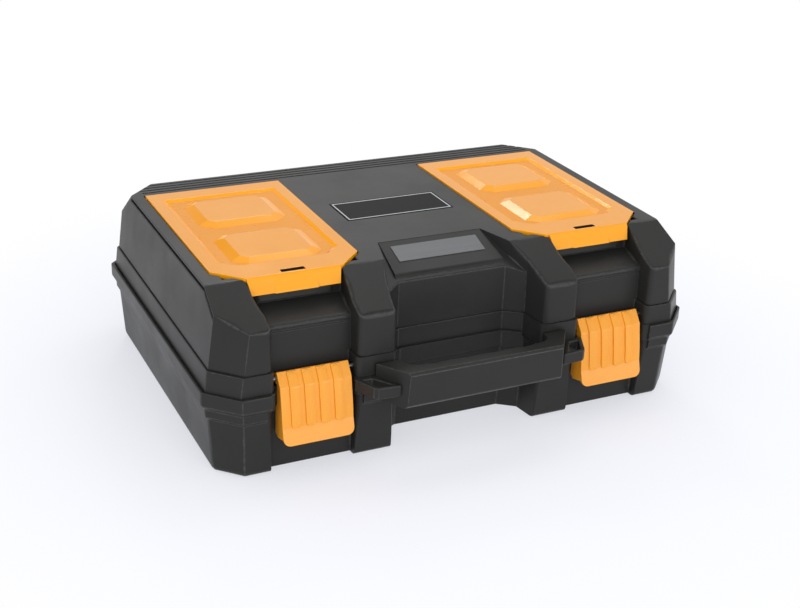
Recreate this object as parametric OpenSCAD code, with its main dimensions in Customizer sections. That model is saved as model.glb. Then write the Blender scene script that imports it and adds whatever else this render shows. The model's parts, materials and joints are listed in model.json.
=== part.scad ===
// Hard tool case: a deep drafted base, a lid with two organizer trays under hinged
// covers, two draw latches and a carry handle screwed to the front. The front is -Y,
// the case rests on z = 0, and the origin is the middle of the base's rim, on the floor.

/* [Case] */
// Width over the base rim
case_w = 380; // [360:1:400]
// Depth over the base rim, without the handle and the hinges
case_d = 276; // [266:1:290]
// Closed height from the floor to the deck of the lid
case_h = 127; // [124:1:134]
// Height of the base up to its rim
base_h = 63; // [60:1:66]
// Wall thickness of both shells
wall = 2.6; // [2.2:0.1:3]
// Leg of the corner chamfers at the base rim
corner = 21.5; // [18:0.5:26]

/* [Base] */
// Taper of the base walls between rim and floor
base_draft = 2.5; // [1:0.5:4]
// Radius of the rounded bottom edge
floor_round = 4.5; // [2:0.5:6]
// How far the rim flange stands out from the walls
flange_out = 5.2; // [4.6:0.1:6]
// Height of the flange's upright face
flange_h = 10; // [8:0.5:12]
// Depth of the seat that the lid edge drops into
seat_depth = 2.6; // [2:0.1:4]
// Gap between the lid edge and its seat, on every side
seat_gap = 0.3; // [0.2:0.05:0.5]
// Height of the cove between the walls and the flange
cove_h = 11.5; // [8:0.5:14]
// How far the rim stands into each bay as a lip
rim_lip = 2.2; // [1.4:0.1:3]
// Gap between the lid's locating rib and the base walls
rib_gap = 0.5; // [0.3:0.1:0.8]
// Depth of the groove round the underside
foot_groove = 1; // [0.6:0.1:1.4]
// Thickness of the strap eyes beside the handle
eye_t = 8.5; // [6:0.5:10]
// How far the strap eyes stand out from the rim
eye_reach = 17; // [14:0.5:19]
// Width of the material round a strap eye's hole
eye_wall = 3.2; // [2.6:0.1:4]

/* [Lid] */
// Step from the rim to the lid's band at the sides
ledge_side = 4.8; // [4.4:0.1:5.4]
// Step from the rim to the lid's band at the front
ledge_front = 3.6; // [3.2:0.1:4.4]
// Step from the rim to the lid's band at the back
ledge_back = 5.5; // [5:0.1:6]
// Height of the lid's lower band above the rim
band_h = 14.5; // [12:0.5:17]
// How far the band stands proud of the walls above it
band_out = 1.2; // [0.8:0.1:1.6]
// Taper of the side walls between band and deck
lid_draft = 6.2; // [4:0.2:8]
// Distance from the front columns to the start of their slope
slope_run = 42; // [36:1:46]
// Angle of the slope on the front columns
slope_angle = 25.3; // [22:0.5:29]
// Leg of the bevel along the deck's back edge
back_bevel = 20; // [14:1:22]
// Leg of the lid's corner chamfers
lid_corner = 18.6; // [15:0.2:22]
// Width of the shadow grooves along the deck edges
groove_w = 2.5; // [1.5:0.1:3.5]
// Depth of the shadow grooves
groove_deep = 2; // [1:0.1:2.2]

/* [Latch bays] */
// Distance of each bay's middle from the side of the rim
bay_inset = 74.2; // [70:0.2:78]
// Width of a bay at its mouth
bay_w = 60.6; // [58:0.2:63]
// Depth of a bay in the lid, behind the column faces
bay_deep = 14; // [13:0.5:16]
// Depth of a bay in the base wall
bay_deep_base = 9.8; // [9:0.2:11]
// How far the rounded ledge of each bay lies below the deck
ledge_drop = 23; // [20:0.5:28]
// Rounding of the column corners
column_round = 4; // [2:0.5:5]

/* [Handle bay and console] */
// Half width between the two middle columns
gap_half = 57.5; // [55:0.5:59]
// Depth of the handle bay, behind the column faces
gap_deep = 32.5; // [28:0.5:36]
// Half width of the console between the dark channels
console_half = 43; // [38:0.5:46]
// Length of the console's sloping top
console_run = 32; // [26:1:36]
// Slope of the console's top
console_angle = 17.5; // [14:0.5:20]
// Width of the plain label on the console
label_w = 68; // [50:1:76]
// Depth of the label along the slope
label_d = 17; // [12:0.5:22]
// Thickness of the label
label_t = 0.5; // [0.3:0.1:1]

/* [Organizers] */
// Distance of each cover's middle from the side of the rim
cover_inset = 75; // [73:0.5:77]
// Width of an organizer cover
cover_w = 107; // [100:1:110]
// Length of a cover from hinge edge to front edge
cover_l = 175; // [165:0.5:178]
// Leg of the chamfers at the cover's front corners
cover_corner = 18.5; // [12:0.5:22]
// Thickness of the cover's border
cover_t = 3.2; // [2.8:0.1:3.6]
// How far the cover stands above the deck
cover_proud = 0.9; // [0.4:0.1:1.4]
// Gap around each cover
cover_gap = 0.8; // [0.6:0.1:1.2]
// Width of a cover's border along its outer side
border_out = 10; // [8:0.5:12]
// Width of a cover's border along its inner side
border_in = 9; // [7:0.5:11]
// Width of a cover's border at the front
border_front = 22; // [20:0.5:26]
// Width of a cover's border at the hinge
border_back = 15; // [13:0.5:18]
// Space between the two pillows of a cover
pillow_gap = 14; // [10:0.5:18]
// Slope of a pillow's edges, in plan
pillow_slope = 7; // [5:0.5:9]
// Length of the snap tab down the front
tab_drop = 8; // [6:0.5:9]
// Depth of the organizer trays
tray_deep = 33; // [24:1:36]
// Wall thickness of trays and dividers
tray_wall = 1.6; // [1.2:0.1:2]
// Compartments in each tray, front to back
compartments = 3; // [2:1:4]

/* [Name plate] */
// Width of the bare plate on the deck
plate_w = 87; // [60:1:96]
// Depth of the bare plate
plate_d = 37; // [24:1:44]
// Thickness of the plate
plate_t = 1.2; // [0.8:0.1:1.4]
// Place of the plate's middle, towards the back
plate_y = 3; // [-10:1:14]

/* [Latches] */
// Width of a latch
latch_w = 51; // [47:0.5:53]
// Length of a latch, from its top edge to its lower lip
latch_l = 48.8; // [44:0.5:50]
// How far a latch's lower lip stands out from its pin
latch_out = 16.3; // [15:0.1:18]
// Distance of the latch pins in front of the bay's panel
latch_pin_out = 6; // [5.6:0.1:7]
// Height of the latch pins above the rim
latch_pin_up = 5.5; // [5:0.1:7]
// Distance from the rim down to the catch that a latch hooks under
catch_drop = 13; // [11:0.5:15]
// Height of the gap between a latch's hook and the catch
hook_gap = 0.5; // [0.5:0.1:1]
// Wall thickness of a latch
latch_t = 2.2; // [1.8:0.1:2.4]
// Number of raised grip ribs on a latch
latch_ribs = 4; // [2:1:5]
// Height of a latch's ribs above its face
latch_rib_h = 1.1; // [0.5:0.1:1.4]
// Diameter of the latch pins
latch_pin_d = 3.2; // [3:0.1:3.4]

/* [Handle] */
// How far the handle's front face reaches past the handle bay, on each side
grip_over = 1.5; // [0:0.5:3]
// How far the handle stands out from the rim
grip_out = 21.7; // [20:0.1:26]
// Thickness of the grip, front to back
grip_t = 11.5; // [9:0.5:12]
// Height of the grip
grip_h = 27; // [24:0.5:30]
// How far the grip rises above the rim
grip_rise = 9.7; // [8:0.1:11]
// Number of finger waves on the inner side
finger_waves = 4; // [3:1:5]
// Pockets in the hollow under the grip
grip_pockets = 7; // [5:2:9]
// Radius of the handle's screws
screw_r = 1.75; // [1.5:0.05:2]
// Length of screw in the handle
screw_deep = 8; // [6:0.5:9]
// Distance of the upper screws below the rim
screw_drop = 6.4; // [6:0.1:7]
// Distance between the two screws of one arm
screw_pitch = 7.6; // [7.2:0.1:8]
// Distance of the screws from the end of the handle's front face
screw_side = 5.2; // [5:0.1:6]

/* [Hinges] */
// Distance of each rear hinge from the side of the rim
hinge_inset = 85; // [70:1:110]
// Length of one hinge knuckle
knuckle_l = 10; // [8:0.5:12]
// Radius of the hinge knuckles
knuckle_r = 4; // [3.6:0.1:4.2]
// Diameter of the hinge pins
pin_d = 3.2; // [2.6:0.1:3.6]
// Radial running clearance of every pin
pin_gap = 0.05; // [0.03:0.01:0.08]

/* [Hidden] */
$fn = 48;
eps = 0.01;
far = 2 * case_w;
beyond = 30;                  // how far a cut in the front reaches beyond the part
seat_play = 0.02;             // lets a piece rest on its seat without cutting into it
loose = 0.3;                  // gap between pieces that are set into one another
front = -case_d / 2;
back = case_d / 2;
half_w = case_w / 2;
mitre = 2 - sqrt(2);          // what an inset takes off a 45 degree chamfer's leg
bevel_share = sqrt(2) - 1;    // what an inset takes off a 45 degree bevel's edge

black = [0.2, 0.2, 0.21];
orange = [1, 0.63, 0.16];
steel = [0.7, 0.7, 0.72];
grey = [0.5, 0.5, 0.5];

// Lid levels
seat_z = base_h - seat_depth;
lid_low = seat_z + seat_gap;
step_z = base_h + band_h;
step_groove = 0.8;
wall_half = half_w - ledge_side - band_out;
col_front = front + ledge_front + band_out;
lid_back = back - ledge_back - band_out;
bevel_z = case_h - back_bevel;
slope_y = col_front + slope_run;
bay_panel = col_front + bay_deep;
bay_x = half_w - bay_inset;
ledge_z = case_h - ledge_drop;
bay_top = slope_y + 0.4;
base_panel = front + flange_out + bay_deep_base;
gap_panel = col_front + gap_deep;
catch_z = base_h - catch_drop;
catch_half = 20;
catch_out = 6.4;              // how far the catch rib stands out from the base's panel
catch_y = base_panel - catch_out;
console_back = slope_y + 28.8;
console_drop = 0.3;           // step from the deck down to the console

// Organizer levels
cover_x = half_w - cover_inset;
cover_back = slope_y + cover_l;
cover_front = slope_y - 0.4;
cover_top = case_h + cover_proud;
cover_low = cover_top - cover_t;
tray_flange = 1.2;
flange_z = cover_low - loose - tray_flange;
pocket_wall = 3.2;
axle_r = 1.8;
axle_y = cover_back - 3;
axle_z = cover_top - 3.3;
barrel_r = 2.6;
// the cover's rear edge swings round the axle, and the pocket leaves room for it
swing_y = axle_y + norm([cover_back - axle_y, cover_top - axle_z]) + loose;
trough = 6.5;                 // room for the cover's barrel in front of its axle
axle_reach = 2;               // length of an axle stub beyond the gap
tray_back = axle_y - trough - 1;
tray_edge = 5;                // width of the ledge that the tray's flange rests on
recess_y0 = cover_front + border_front;
recess_y1 = cover_back - border_back;
pillow_front = 2.6;
pillow_back = 7;
pillow_len = (recess_y1 - recess_y0 - pillow_front - pillow_back - pillow_gap) / 2;
pillow_half = cover_w / 2 - border_out - 10.5;
pillow_rise = 1.1;            // height of a pillow above the cover's border

// Latch places
latch_y = bay_panel - latch_pin_out;
latch_z = base_h + latch_pin_up;
latch_top = latch_z + 5;
latch_low = latch_top - latch_l;
latch_pin_end = 4;            // length of a latch pin held in each column
hook_z = catch_z - hook_gap;

// Hinge place
hinge_x = half_w - hinge_inset;
hinge_y = back + 3;
hinge_z = base_h + 3.2;
knuckle_gap = 0.4;

// Handle places
grip_front = front - grip_out;
grip_top = base_h + grip_rise;
grip_low = grip_top - grip_h;
shoulder = 0.67;              // how far the shoulders widen for each mm towards the case
grip_back = front + 1.6;      // back face of the handle, clear of the lid
grip_half = gap_half + grip_over;
screw_x = grip_half + screw_side;
screw_seat = front + flange_out + wall + 1.8;
head_r = 3.5;
head_h = 2.2;

// ---------- helpers ----------

function unit(v) = v / norm(v);
function side_normal(a, b) = unit([b[1] - a[1], a[0] - b[0]]);

// A counter-clockwise outline moved out by d, with mitred corners
function grown(pts, d) = [for (i = [0:len(pts) - 1])
    let (n = len(pts),
         m1 = side_normal(pts[(i + n - 1) % n], pts[i]),
         m2 = side_normal(pts[i], pts[(i + 1) % n]))
    pts[i] + d * (m1 + m2) / (1 + m1 * m2)];

function octagon(hw, y0, y1, c0, c1) = [
    [-hw, y0 + c0], [-hw + c0, y0], [hw - c0, y0], [hw, y0 + c0],
    [hw, y1 - c1], [hw - c1, y1], [-hw + c1, y1], [-hw, y1 - c1]];

function at_height(pts, z) = [for (p = pts) [p[0], p[1], z]];

function quarter(x, y, r, a0, steps = 6) = [for (i = [0:steps])
    [x + r * cos(a0 - i * 90 / steps), y + r * sin(a0 - i * 90 / steps)]];

function mirror_points(pts) = [for (i = [len(pts) - 1:-1:0]) [-pts[i][0], pts[i][1]]];

// A closed skin through outlines of equal length, lowest first
module loft(rings) {
    n = len(rings[0]);
    m = len(rings);
    skin = [for (k = [0:m - 2], i = [0:n - 1]) let (j = (i + 1) % n)
        [k * n + i, (k + 1) * n + i, (k + 1) * n + j, k * n + j]];
    polyhedron([for (r = rings) each r],
        concat([[for (i = [0:n - 1]) i]], [[for (i = [n - 1:-1:0]) (m - 1) * n + i]], skin),
        convexity = 6);
}

module slab(z0, z1) {
    intersection() {
        children();
        translate([-far, -far, z0]) cube([2 * far, 2 * far, z1 - z0]);
    }
}

// A side profile drawn as [y, z], carried along X from x0 to x1
module across(x0, x1) {
    translate([x0, 0, 0]) rotate([90, 0, 90]) linear_extrude(x1 - x0) children();
}

// An outline drawn as [x, z], carried along Y through the whole part
module front_cut() {
    rotate([90, 0, 0]) linear_extrude(far, center = true) children();
}

// All above a plane through (y, z) that falls towards the front
module above_slope(y, z, angle, d) {
    translate([0, y, z]) rotate([angle, 0, 0]) translate([-far, -far, d])
        cube([2 * far, 2 * far, far]);
}

module both_sides() {
    children();
    mirror([1, 0, 0]) children();
}

module side(right) {
    if (right) children();
    else mirror([1, 0, 0]) children();
}

module rod(x0, x1, y, z, r) {
    translate([x0, y, z]) rotate([0, 90, 0]) cylinder(r = r, h = x1 - x0);
}

// ---------- base ----------

function base_plan(inset) = octagon(half_w - inset, front + inset, back - inset,
    corner - mitre * inset, corner - mitre * inset);
function base_ring(z, inset) = at_height(base_plan(inset), z);

module base_outer() {
    low = flange_out + base_draft;
    cove_z = base_h - flange_h - cove_h;
    loft([for (a = [0:30:90])
            base_ring(floor_round * (1 - cos(a)), low + floor_round * (1 - sin(a))),
        base_ring(cove_z, flange_out),
        base_ring(cove_z + 0.17 * cove_h, 0.62 * flange_out),
        base_ring(cove_z + 0.7 * cove_h, 0.55 * flange_out),
        base_ring(cove_z + cove_h, 0),
        base_ring(base_h, 0)]);
}

module base_inner() {
    inset = flange_out + wall;
    loft([base_ring(wall + foot_groove, inset + base_draft),
        base_ring(base_h + eps, inset)]);
}

// Mouth of a recess between two columns, with their corners rounded
function mouth_right(half, y0, y1, r) = concat(
    [[half + r, y0 - beyond]], quarter(half + r, y0 + r, r, 270), [[half, y1]]);
function mouth(half, y0, y1, r) = concat(
    mirror_points(mouth_right(half, y0, y1, r)), mouth_right(half, y0, y1, r));

// Plan of the handle bay: straight sides, then oblique corners to its panel
function gap_right(half, y0, panel, r) = concat(
    [[half + r, y0 - beyond]], quarter(half + r, y0 + r, r, 270),
    [[half - 2.5, panel - 9.5], [half - 15.5, panel]]);
function gap_plan(half, y0, panel, r) = concat(
    mirror_points(gap_right(half, y0, panel, r)), gap_right(half, y0, panel, r));

// One storey of the bays in the base; the lip narrows them and d grows the cut
module bay_storey(z0, z1, lip, y0, d) {
    both_sides() translate([bay_x, 0, z0]) linear_extrude(z1 - z0)
        polygon(grown(mouth(bay_w / 2 - lip, y0, base_panel - 1.1 * lip, column_round), d));
    translate([0, 0, z0]) linear_extrude(z1 - z0)
        polygon(grown(gap_plan(gap_half - lip / 2, y0, gap_panel - 0.6 - 1.3 * lip,
            column_round), d));
}

// What the latch bays and the handle bay take out of the base
module base_bays(d) {
    bay_storey(-1, catch_z, 0, front + flange_out, d);
    bay_storey(catch_z - eps, base_h + 1, rim_lip, front + rim_lip + 0.6, d);
}

// A point of the line that runs beside the handle's shoulder
function beside_handle(y) = [grip_half + shoulder * (y - grip_front) + loose, y];

// Eye for a padlock or strap, between a handle arm and a latch
module strap_eye() {
    root = front + eye_wall - loose;
    edge = bay_x - latch_w / 2 - 2 * loose;
    plan = [beside_handle(root), beside_handle(front - eye_reach),
        [edge - 10, front - eye_reach + 1], [edge - 7.6, front - eye_reach + 3.4], [edge, root]];
    translate([0, 0, base_h - eye_t]) linear_extrude(eye_t) difference() {
        polygon(plan);
        polygon(grown(plan, -eye_wall));
    }
}

module handle_screw_places() {
    for (drop = [0, screw_pitch]) translate([screw_x, 0, base_h - screw_drop - drop])
        rotate([90, 0, 0]) children();
}

// Every second knuckle of a hinge, starting at the first or the second
module hinge_knuckles(first) {
    for (i = [first:2:4]) translate([hinge_x + (i - 2.5) * knuckle_l + knuckle_gap / 2, 0, 0])
        children();
}

// One knuckle with the web that joins it to its shell
module knuckle(web) {
    rod(0, knuckle_l - knuckle_gap, hinge_y, hinge_z, knuckle_r);
    across(0, knuckle_l - knuckle_gap) polygon(web);
}

module hinge_bores() {
    both_sides() rod(hinge_x - 3 * knuckle_l, hinge_x + 3 * knuckle_l, hinge_y, hinge_z,
        pin_d / 2 + pin_gap);
}

// Pads outside and bosses inside that carry the handle
module handle_seats() {
    both_sides() translate([grip_half + 0.5, front, grip_low + 1])
        cube([15, flange_out + 1, base_h - flange_h - grip_low + 2]);
    both_sides() handle_screw_places()
        translate([0, 0, -screw_seat]) cylinder(r = head_r + 0.6, h = 3);
}

module foot_groove_cut() {
    inset = flange_out + base_draft + floor_round + 8;
    behind_bays = bay_deep_base + 22;
    cut = 12;                 // leg of the groove's corners
    groove = 6;               // width of the groove
    plan = octagon(half_w - inset, front + inset + behind_bays, back - inset, cut, cut);
    translate([0, 0, -1]) linear_extrude(foot_groove + 1) difference() {
        polygon(plan);
        polygon(grown(plan, -groove));
    }
}

module base_shell() {
    color(black) difference() {
        union() {
            difference() {
                base_outer();
                base_bays(0);
                difference() {
                    base_inner();
                    base_bays(wall);
                }
            }
            // catch ribs that the latches hook under
            both_sides() translate([bay_x - catch_half, catch_y, catch_z])
                cube([2 * catch_half, catch_out - rim_lip / 2, 5]);
            both_sides() strap_eye();
            handle_seats();
            both_sides() hinge_knuckles(0)
                knuckle([[back - 0.5, base_h - 8.5], [back + 2, base_h - 7],
                    [back + 6.5, base_h + 1.6], [hinge_y, hinge_z], [back - 0.5, base_h - 0.2]]);
        }
        // seat for the lid's edge
        slab(seat_z, base_h + 1) lid_form(band_out + 2 * seat_gap, 2 * seat_gap);
        foot_groove_cut();
        both_sides() handle_screw_places() cylinder(r = screw_r + 0.25, h = -front + 2);
        hinge_bores();
    }
}

// ---------- lid ----------

// The lid's outside as one block, moved out by d; the bay panels move by p
module lid_form(d, p) {
    skirt_z = seat_z - 9;
    bend_z = bevel_z + bevel_share * d;
    side_at = function (z) wall_half + d - lid_draft * (z - step_z) / (case_h - step_z);
    ring = function (z, hw) at_height(octagon(hw, col_front - d, lid_back + d,
        lid_corner, lid_corner), z);
    deck_back = lid_back - back_bevel + bevel_share * d;
    difference() {
        loft([ring(skirt_z, side_at(skirt_z)), ring(bend_z, side_at(bend_z)),
            at_height(octagon(wall_half - lid_draft + d, col_front - d, deck_back,
                lid_corner, lid_corner + 3), case_h + min(d, 0))]);
        above_slope(slope_y, case_h, slope_angle, d);
        both_sides() lid_bay(-d, -p);
        handle_bay(-d);
    }
}

// What a latch bay takes out of the lid; g grows the cut, deep moves its panel back.
// A fine groove runs along the panel, under the rounded lip of its ledge.
module lid_bay(g, deep) {
    half = bay_w / 2 + g;
    y0 = col_front;
    panel = bay_panel + deep;
    spread = 4.6;             // how much wider the bay is where it meets the deck
    right = concat([[half + column_round, y0 - beyond]],
        quarter(half + column_round, y0 + column_round + g, column_round, 270),
        [[half, y0 + bay_deep], [half + spread, bay_top + g], [half + spread, bay_top + 6]]);
    intersection() {
        translate([bay_x, 0, -1]) linear_extrude(case_h + 20)
            polygon(concat(mirror_points(right), right));
        across(0, half_w) polygon([[y0 - beyond, -2], [panel, -2],
            [panel, ledge_z - 5.4 - g / 2], [panel + 0.9, ledge_z - 4.9 - g / 2],
            [panel + 0.9, ledge_z - 3.6 - g / 2], [panel, ledge_z - 2.8 - g / 2],
            [panel + 0.6, ledge_z - 0.8 - g], [panel + 3, ledge_z + 0.4 - g],
            [bay_top + g, ledge_z + 4 - g], [bay_top + g, case_h + beyond],
            [y0 - beyond, case_h + beyond]]);
    }
}

// The handle bay and the sloping floor of the channels beside the console
module handle_bay(g) {
    translate([0, 0, -1]) linear_extrude(case_h + 20)
        polygon(grown(gap_plan(gap_half, col_front, gap_panel, column_round), g));
    right = [[gap_half, col_front - beyond], [gap_half, col_front + 3],
        [gap_half - 2.5, gap_panel - 9.5], [gap_half - 8.5, slope_y + 1],
        [console_half - 2, console_back]];
    intersection() {
        translate([0, 0, -1]) linear_extrude(case_h + 20)
            polygon(grown(concat(mirror_points(right), right), g));
        above_slope(console_back, case_h - 3 * console_drop, console_angle + 2.3, -g);
    }
}

module console() {
    y1 = console_back;
    y0 = y1 - console_run;
    z0 = case_h - console_drop - console_run * tan(console_angle);
    flank = 2.6;              // how far the console narrows towards the back
    intersection() {
        across(-far, far) polygon([[y1 + 1, case_h - console_drop],
            [y1, case_h - console_drop], [y0, z0], [y0 - 2.2, z0 - 1.4], [y0 - 3.4, z0 - 3.6],
            [y0 - 4.6, z0 - 9], [gap_panel + eps, step_z + 4], [gap_panel + 4, step_z + 4],
            [gap_panel + 4, z0 - 8], [y1 + 1, case_h - wall]]);
        linear_extrude(far) polygon([[-console_half + flank, y1 + 2], [-console_half, y0 - 4],
            [-console_half, y0 - 12], [console_half, y0 - 12], [console_half, y0 - 4],
            [console_half - flank, y1 + 2]]);
    }
}

module lid_outer() {
    slab(lid_low, step_z) lid_form(band_out, 0);
    slab(step_z - eps, step_z + step_groove + eps) lid_form(-step_groove, 0);
    slab(step_z + step_groove, case_h + 1) lid_form(0, 0);
}

function cover_plan(d) = let (w = cover_w / 2, c = cover_corner)
    grown([[w, cover_back], [-w, cover_back], [-w, cover_front + c], [-w + c, cover_front],
        [w - c, cover_front], [w, cover_front + c]], d);

// Frame under the deck round one organizer, with bosses for the cover's axle
module organizer_frame() {
    outer = cover_gap + pocket_wall;
    translate([cover_x, 0, flange_z - wall - 1]) linear_extrude(case_h - flange_z + wall)
        polygon(cover_plan(outer));
    translate([cover_x - cover_w / 2 - outer, axle_y - trough - 2.2, axle_z - barrel_r - 4.5])
        cube([cover_w + 2 * outer, swing_y + pocket_wall - axle_y + trough + 2.2, 9]);
}

// Pocket, window and axle trough of one organizer
module organizer_pocket() {
    gap_w = cover_w + 2 * cover_gap;
    bore_w = gap_w + 2 * (axle_reach + 0.4);
    translate([cover_x, 0, flange_z]) linear_extrude(case_h)
        polygon(cover_plan(cover_gap));
    translate([cover_x - cover_w / 2 + tray_edge, cover_front + tray_edge + 1, 0])
        cube([cover_w - 2 * tray_edge, tray_back - cover_front - 2 * tray_edge, case_h]);
    translate([cover_x - gap_w / 2, axle_y - trough, axle_z - barrel_r - 2.2])
        cube([gap_w, swing_y - axle_y + trough, case_h]);
    rod(cover_x - bore_w / 2, cover_x + bore_w / 2, axle_y, axle_z, axle_r + 0.07);
}

// Small catch lip that the cover's tab snaps over
module cover_catch() {
    lip_z = case_h - 11.5;
    lip_half = bay_w / 2 - 2;
    lip_end = 5;              // how far the lip's ends are rounded off
    translate([bay_x, 0, 0]) intersection() {
        across(-lip_half, lip_half) polygon([[bay_top + 1, lip_z + 1],
            [bay_top - 2.8, lip_z], [bay_top - 3.6, lip_z - 5], [bay_top - 2.6, lip_z - 6],
            [bay_top + 1, lip_z - 6]]);
        linear_extrude(case_h) polygon([[-lip_half, bay_top + 1], [-lip_half, bay_top - 0.8],
            [-lip_half + lip_end / 3, bay_top - 2.6], [-lip_half + lip_end, bay_top - 4],
            [lip_half - lip_end, bay_top - 4], [lip_half - lip_end / 3, bay_top - 2.6],
            [lip_half, bay_top - 0.8], [lip_half, bay_top + 1]]);
    }
}

module deck_grooves() {
    drop = tan(slope_angle);
    side_run = slope_run - lid_corner - 1;
    y1 = lid_back - back_bevel - lid_corner - 4;
    y0 = slope_y - 0.5;
    top = case_h - 1.6;
    both_sides() across(wall_half - lid_draft - groove_deep, half_w) polygon([
        [y1, top], [y0, top], [y0 - side_run, top - side_run * drop],
        [y0 - side_run, top - side_run * drop - 1.1 * groove_w], [y0 - 0.5, top - groove_w],
        [y1, top - groove_w]]);
    // fine lines across the back strip
    first = cover_back + 7;
    pitch = (lid_back - back_bevel - first - 2) / 3.6;
    for (i = [0:3]) translate([-cover_x - cover_w / 2, first + i * pitch, case_h - 0.9])
        cube([2 * cover_x + cover_w, 1.3, 2]);
}

module latch_pin_bores() {
    reach = bay_w / 2 + latch_pin_end + 4;
    both_sides() rod(bay_x - reach, bay_x + reach, latch_y, latch_z,
        latch_pin_d / 2 + pin_gap);
}

// Rib under the lid's edge that drops inside the base
module locating_rib() {
    inset = flange_out + wall + rib_gap;
    rib_t = 1.6;
    difference() {
        union() {
            translate([0, 0, base_h - 6]) linear_extrude(9) polygon(base_plan(inset));
            translate([0, 0, base_h + loose]) linear_extrude(3) polygon(base_plan(inset - 2.2));
        }
        translate([0, 0, base_h - 7]) linear_extrude(12) polygon(base_plan(inset + rib_t));
        base_bays(wall + rib_gap);
        // left open behind the handle's screws
        translate([-bay_x, front, 0]) cube([2 * bay_x, beyond, case_h]);
    }
}

module lid_shell() {
    color(black) difference() {
        union() {
            difference() {
                union() {
                    lid_outer();
                    console();
                }
                slab(0, case_h) lid_form(-wall, -wall);
            }
            intersection() {
                lid_form(0, 0);
                union() {
                    both_sides() organizer_frame();
                    locating_rib();
                }
            }
            both_sides() cover_catch();
            both_sides() hinge_knuckles(1)
                knuckle([[lid_back + 0.2, base_h + 0.6], [back, base_h + 0.6],
                    [hinge_y, hinge_z - 1.6], [hinge_y, hinge_z + 3.6], [back - 2, hinge_z + 5],
                    [lid_back + 0.2, hinge_z + 7.5]]);
        }
        both_sides() organizer_pocket();
        deck_grooves();
        translate([-plate_w / 2, plate_y - plate_d / 2, case_h - plate_t])
            cube([plate_w, plate_d, 3]);
        latch_pin_bores();
        hinge_bores();
    }
}

// Bare plate with a thin raised line round its edge
module name_plate() {
    w = plate_w - 2 * loose;
    d = plate_d - 2 * loose;
    edge = 1;
    line = 1;
    color(black) translate([0, plate_y, case_h - plate_t + seat_play]) {
        translate([-w / 2, -d / 2, 0]) cube([w, d, plate_t]);
        linear_extrude(plate_t + 0.15) difference() {
            square([w - 2 * edge, d - 2 * edge], center = true);
            square([w - 2 * (edge + line), d - 2 * (edge + line)], center = true);
        }
    }
}

module console_label() {
    color(grey) translate([0, console_back, case_h - console_drop]) rotate([console_angle, 0, 0])
        translate([-label_w / 2, -label_d - 6, seat_play]) cube([label_w, label_d, label_t]);
}

// ---------- organizers ----------

// The border of a cover, with its recess, its finger slot and the hollow beneath
module cover_body() {
    w = cover_w / 2;
    corner_cut = 11;
    slot_half = 8.5;
    slot_d = 4.2;
    slot_y = cover_front + 1.9;
    recess = function (d) grown([[w - border_out, recess_y1], [-w + border_in, recess_y1],
        [-w + border_in, recess_y0 + corner_cut], [-w + border_in + corner_cut, recess_y0],
        [w - border_out - corner_cut, recess_y0], [w - border_out, recess_y0 + corner_cut]], d);
    difference() {
        translate([0, 0, cover_low]) linear_extrude(cover_t) polygon(cover_plan(0));
        loft([at_height(recess(-2.5), cover_low + 1.5), at_height(recess(0), cover_top),
            at_height(recess(0.5), cover_top + 1)]);
        translate([-slot_half, slot_y, 0]) cube([2 * slot_half, slot_d, far]);
        translate([0, 0, cover_low - 1]) linear_extrude(2.6) difference() {
            polygon(cover_plan(-1.6));
            polygon(recess(1.6));
            translate([-slot_half - 3, cover_front]) square([2 * slot_half + 6, slot_d + 4]);
            translate([-w, cover_back - 6.5]) square([2 * w, 7]);
        }
    }
}

// The two pillows raised from the recess; drop lowers them to form the hollows beneath
module cover_pillows(drop) {
    for (y = [recess_y0 + pillow_front, recess_y1 - pillow_back - pillow_len]) {
        ring = function (d) grown(octagon(pillow_half, y, y + pillow_len, 9, 9), d);
        translate([0, 0, -drop]) loft([at_height(ring(0), cover_low + 1.2),
            at_height(ring(0), cover_low + 1.6),
            at_height(ring(-pillow_slope), cover_top + pillow_rise)]);
    }
}

// The snap tab, bent down over the front of the lid, with a pad to lift it by in its middle
module cover_tab() {
    half = bay_w / 2 + 3.2;
    reach = 0.8 * tab_drop;
    low = cover_top - 2.9 - tab_drop;
    bend_y = cover_front - 2;
    bend_z = cover_top - 1.4;
    lip_y = cover_front - reach;
    pad_half = 0.44 * half;
    pad_side = 2.2;               // how far the pad's sides spread at the lip
    pad_out = 1.1;                // how far the pad stands out at the lip
    translate([bay_x - cover_x, 0, 0]) {
        intersection() {
            across(-far, far) polygon([[cover_front + 1, cover_top], [cover_front, cover_top],
                [bend_y, bend_z], [lip_y, low], [lip_y + 2.1, low],
                [cover_front + 0.4, cover_low], [cover_front + 1, cover_low]]);
            front_cut() polygon([[-half, cover_top + 1], [-half, cover_top - 2],
                [-half + 2, low - 1], [half - 2, low - 1], [half, cover_top - 2],
                [half, cover_top + 1]]);
        }
        hull() {
            translate([-pad_half, bend_y, bend_z - 0.5]) cube([2 * pad_half, 0.4, 0.4]);
            translate([-pad_half - pad_side, lip_y + 0.4, low])
                cube([2 * (pad_half + pad_side), 1, 0.4]);
            translate([-pad_half, lip_y - pad_out, low]) cube([2 * pad_half, 1, 0.4]);
        }
    }
}

module organizer_cover() {
    pillow_t = 2.6;
    floor_z = cover_low + eps;
    stub = cover_w / 2 + cover_gap + axle_reach;
    difference() {
        union() {
            cover_body();
            cover_tab();
            // nibs at the sides of the recess, between the pillows
            for (x = [-cover_w / 2 + border_in, cover_w / 2 - border_out])
                translate([x, recess_y0 + pillow_front + pillow_len + 2, cover_low + 1])
                    cube([10, 5, 1.3], center = true);
            rod(-cover_w / 2, cover_w / 2, axle_y, axle_z, barrel_r);
            rod(-stub, stub, axle_y, axle_z, axle_r);
            cover_pillows(0);
        }
        slab(floor_z - 2, case_h) cover_pillows(pillow_t);
    }
}

function tray_wall_y(i) = cover_front + tray_edge + 3
    + i * (tray_back - cover_front - 2 * tray_edge - 4) / compartments;

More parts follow.
